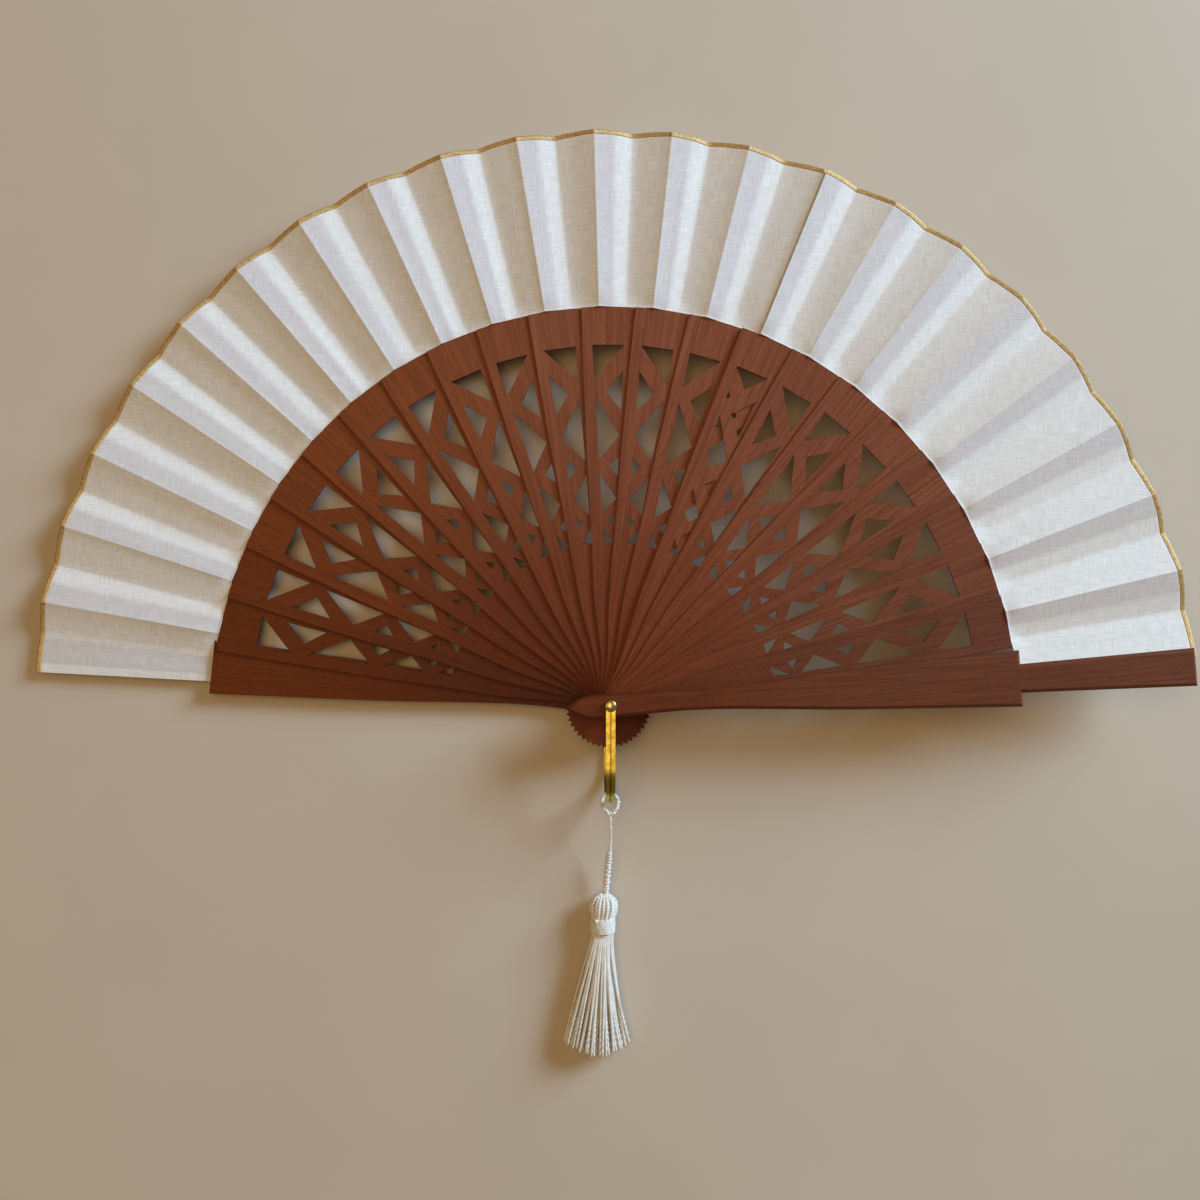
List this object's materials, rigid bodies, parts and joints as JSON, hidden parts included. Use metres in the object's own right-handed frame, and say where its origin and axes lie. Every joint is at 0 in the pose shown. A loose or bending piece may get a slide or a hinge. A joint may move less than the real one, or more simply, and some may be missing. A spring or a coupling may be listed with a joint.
{
  "type": "folding hand fan",
  "caption": "Open folding hand fan: pierced wooden ribs and guards on a rivet, a pleated cloth leaf, and a tassel hung from a brass shackle.",
  "frame": {"origin": "on the rivet's axis, in the plane of the rear guard's back face", "axes": "+Z along the rivet towards the front guard, +Y up through the middle of the open fan, +X to the right, where the front guard points"},
  "size_m": [0.4314, 0.3486, 0.0295],
  "materials": {
    "rib_wood": "oiled reddish-brown hardwood, satin",
    "guard_wood": "oiled reddish-brown hardwood, satin",
    "leaf_cloth": "plain woven cotton, off-white, matte",
    "rivet_brass": "polished, slightly dulled",
    "shackle_brass": "polished",
    "tassel_thread": "ivory twisted thread with a soft sheen"
  },
  "bodies": {
    "rear_guard": {"rear_guard": "guard_wood", "leaf_01": "leaf_cloth", "pivot_rivet": "rivet_brass"},
    "rib_01": {"rib_01": "rib_wood", "leaf_02": "leaf_cloth"},
    "rib_02": {"rib_02": "rib_wood", "leaf_03": "leaf_cloth"},
    "rib_03": {"rib_03": "rib_wood", "leaf_04": "leaf_cloth"},
    "rib_04": {"rib_04": "rib_wood", "leaf_05": "leaf_cloth"},
    "rib_05": {"rib_05": "rib_wood", "leaf_06": "leaf_cloth"},
    "rib_06": {"rib_06": "rib_wood", "leaf_07": "leaf_cloth"},
    "rib_07": {"rib_07": "rib_wood", "leaf_08": "leaf_cloth"},
    "rib_08": {"rib_08": "rib_wood", "leaf_09": "leaf_cloth"},
    "rib_09": {"rib_09": "rib_wood", "leaf_10": "leaf_cloth"},
    "rib_10": {"rib_10": "rib_wood", "leaf_11": "leaf_cloth"},
    "rib_11": {"rib_11": "rib_wood", "leaf_12": "leaf_cloth"},
    "rib_12": {"rib_12": "rib_wood", "leaf_13": "leaf_cloth"},
    "rib_13": {"rib_13": "rib_wood", "leaf_14": "leaf_cloth"},
    "rib_14": {"rib_14": "rib_wood", "leaf_15": "leaf_cloth"},
    "rib_15": {"rib_15": "rib_wood", "leaf_16": "leaf_cloth"},
    "rib_16": {"rib_16": "rib_wood", "leaf_17": "leaf_cloth"},
    "rib_17": {"rib_17": "rib_wood", "leaf_18": "leaf_cloth"},
    "rib_18": {"rib_18": "rib_wood", "leaf_19": "leaf_cloth"},
    "rib_19": {"rib_19": "rib_wood", "leaf_20": "leaf_cloth"},
    "rib_20": {"rib_20": "rib_wood", "leaf_21": "leaf_cloth"},
    "rib_21": {"rib_21": "rib_wood", "leaf_22": "leaf_cloth"},
    "rib_22": {"rib_22": "rib_wood", "leaf_23": "leaf_cloth"},
    "front_guard": {"front_guard": "guard_wood"},
    "shackle": {"shackle": "shackle_brass"},
    "tassel": {"tassel_loop": "tassel_thread", "tassel_cord": "tassel_thread", "tassel_head": "tassel_thread", "tassel_binding": "tassel_thread", "tassel_skirt": "tassel_thread"}
  },
  "joints": [
    {"name": "fold_01", "type": "hinge", "parent": "rear_guard", "child": "rib_01", "pos_m": [0, 0, 0], "axis": [0, 0, 1], "range_deg": [0, 6.23], "deforming": ["leaf_01"]},
    {"name": "fold_02", "type": "hinge", "parent": "rib_01", "child": "rib_02", "pos_m": [0, 0, 0], "axis": [0, 0, 1], "range_deg": [0, 7.83], "deforming": ["leaf_02"]},
    {"name": "fold_03", "type": "hinge", "parent": "rib_02", "child": "rib_03", "pos_m": [0, 0, 0], "axis": [0, 0, 1], "range_deg": [0, 7.83], "deforming": ["leaf_03"]},
    {"name": "fold_04", "type": "hinge", "parent": "rib_03", "child": "rib_04", "pos_m": [0, 0, 0], "axis": [0, 0, 1], "range_deg": [0, 7.83], "deforming": ["leaf_04"]},
    {"name": "fold_05", "type": "hinge", "parent": "rib_04", "child": "rib_05", "pos_m": [0, 0, 0], "axis": [0, 0, 1], "range_deg": [0, 7.83], "deforming": ["leaf_05"]},
    {"name": "fold_06", "type": "hinge", "parent": "rib_05", "child": "rib_06", "pos_m": [0, 0, 0], "axis": [0, 0, 1], "range_deg": [0, 7.83], "deforming": ["leaf_06"]},
    {"name": "fold_07", "type": "hinge", "parent": "rib_06", "child": "rib_07", "pos_m": [0, 0, 0], "axis": [0, 0, 1], "range_deg": [0, 7.83], "deforming": ["leaf_07"]},
    {"name": "fold_08", "type": "hinge", "parent": "rib_07", "child": "rib_08", "pos_m": [0, 0, 0], "axis": [0, 0, 1], "range_deg": [0, 7.83], "deforming": ["leaf_08"]},
    {"name": "fold_09", "type": "hinge", "parent": "rib_08", "child": "rib_09", "pos_m": [0, 0, 0], "axis": [0, 0, 1], "range_deg": [0, 7.83], "deforming": ["leaf_09"]},
    {"name": "fold_10", "type": "hinge", "parent": "rib_09", "child": "rib_10", "pos_m": [0, 0, 0], "axis": [0, 0, 1], "range_deg": [0, 7.83], "deforming": ["leaf_10"]},
    {"name": "fold_11", "type": "hinge", "parent": "rib_10", "child": "rib_11", "pos_m": [0, 0, 0], "axis": [0, 0, 1], "range_deg": [0, 7.83], "deforming": ["leaf_11"]},
    {"name": "fold_12", "type": "hinge", "parent": "rib_11", "child": "rib_12", "pos_m": [0, 0, 0], "axis": [0, 0, 1], "range_deg": [0, 7.83], "deforming": ["leaf_12"]},
    {"name": "fold_13", "type": "hinge", "parent": "rib_12", "child": "rib_13", "pos_m": [0, 0, 0], "axis": [0, 0, 1], "range_deg": [0, 7.83], "deforming": ["leaf_13"]},
    {"name": "fold_14", "type": "hinge", "parent": "rib_13", "child": "rib_14", "pos_m": [0, 0, 0], "axis": [0, 0, 1], "range_deg": [0, 7.83], "deforming": ["leaf_14"]},
    {"name": "fold_15", "type": "hinge", "parent": "rib_14", "child": "rib_15", "pos_m": [0, 0, 0], "axis": [0, 0, 1], "range_deg": [-7.83, 0], "deforming": ["leaf_15"]},
    {"name": "fold_16", "type": "hinge", "parent": "rib_15", "child": "rib_16", "pos_m": [0, 0, 0], "axis": [0, 0, 1], "range_deg": [0, 7.83], "deforming": ["leaf_16"]},
    {"name": "fold_17", "type": "hinge", "parent": "rib_16", "child": "rib_17", "pos_m": [0, 0, 0], "axis": [0, 0, 1], "range_deg": [0, 7.83], "deforming": ["leaf_17"]},
    {"name": "fold_18", "type": "hinge", "parent": "rib_17", "child": "rib_18", "pos_m": [0, 0, 0], "axis": [0, 0, 1], "range_deg": [0, 7.83], "deforming": ["leaf_18"]},
    {"name": "fold_19", "type": "hinge", "parent": "rib_18", "child": "rib_19", "pos_m": [0, 0, 0], "axis": [0, 0, 1], "range_deg": [0, 7.83], "deforming": ["leaf_19"]},
    {"name": "fold_20", "type": "hinge", "parent": "rib_19", "child": "rib_20", "pos_m": [0, 0, 0], "axis": [0, 0, 1], "range_deg": [0, 7.83], "deforming": ["leaf_20"]},
    {"name": "fold_21", "type": "hinge", "parent": "rib_20", "child": "rib_21", "pos_m": [0, 0, 0], "axis": [0, 0, 1], "range_deg": [0, 7.83], "deforming": ["leaf_21"]},
    {"name": "fold_22", "type": "hinge", "parent": "rib_21", "child": "rib_22", "pos_m": [0, 0, 0], "axis": [0, 0, 1], "range_deg": [0, 7.83], "deforming": ["leaf_22"]},
    {"name": "fold_23", "type": "hinge", "parent": "rib_22", "child": "front_guard", "pos_m": [0, 0, 0], "axis": [0, 0, 1], "range_deg": [0, 8.14], "deforming": ["leaf_23"]},
    {"name": "shackle_swing", "type": "hinge", "parent": "rear_guard", "child": "shackle", "pos_m": [0, 0, 0], "axis": [0, 0, 1], "range_deg": [-60, 60]},
    {"name": "tassel_swing", "type": "hinge", "parent": "shackle", "child": "tassel", "pos_m": [0, -0.03605, 0.01277], "axis": [0, 0, 1], "range_deg": [-25, 25]}
  ],
  "couplings": [
    {"joint": "fold_02", "follows": "fold_01", "ratio": 1.2568},
    {"joint": "fold_03", "follows": "fold_01", "ratio": 1.2568},
    {"joint": "fold_04", "follows": "fold_01", "ratio": 1.2568},
    {"joint": "fold_05", "follows": "fold_01", "ratio": 1.2568},
    {"joint": "fold_06", "follows": "fold_01", "ratio": 1.2568},
    {"joint": "fold_07", "follows": "fold_01", "ratio": 1.2568},
    {"joint": "fold_08", "follows": "fold_01", "ratio": 1.2568},
    {"joint": "fold_09", "follows": "fold_01", "ratio": 1.2568},
    {"joint": "fold_10", "follows": "fold_01", "ratio": 1.2568},
    {"joint": "fold_11", "follows": "fold_01", "ratio": 1.2568},
    {"joint": "fold_12", "follows": "fold_01", "ratio": 1.2568},
    {"joint": "fold_13", "follows": "fold_01", "ratio": 1.2568},
    {"joint": "fold_14", "follows": "fold_01", "ratio": 1.2568},
    {"joint": "fold_16", "follows": "fold_01", "ratio": 1.2568},
    {"joint": "fold_17", "follows": "fold_01", "ratio": 1.2568},
    {"joint": "fold_18", "follows": "fold_01", "ratio": 1.2568},
    {"joint": "fold_19", "follows": "fold_01", "ratio": 1.2568},
    {"joint": "fold_20", "follows": "fold_01", "ratio": 1.2568},
    {"joint": "fold_21", "follows": "fold_01", "ratio": 1.2568},
    {"joint": "fold_22", "follows": "fold_01", "ratio": 1.2568},
    {"joint": "fold_23", "follows": "fold_01", "ratio": 1.3066}
  ]
}
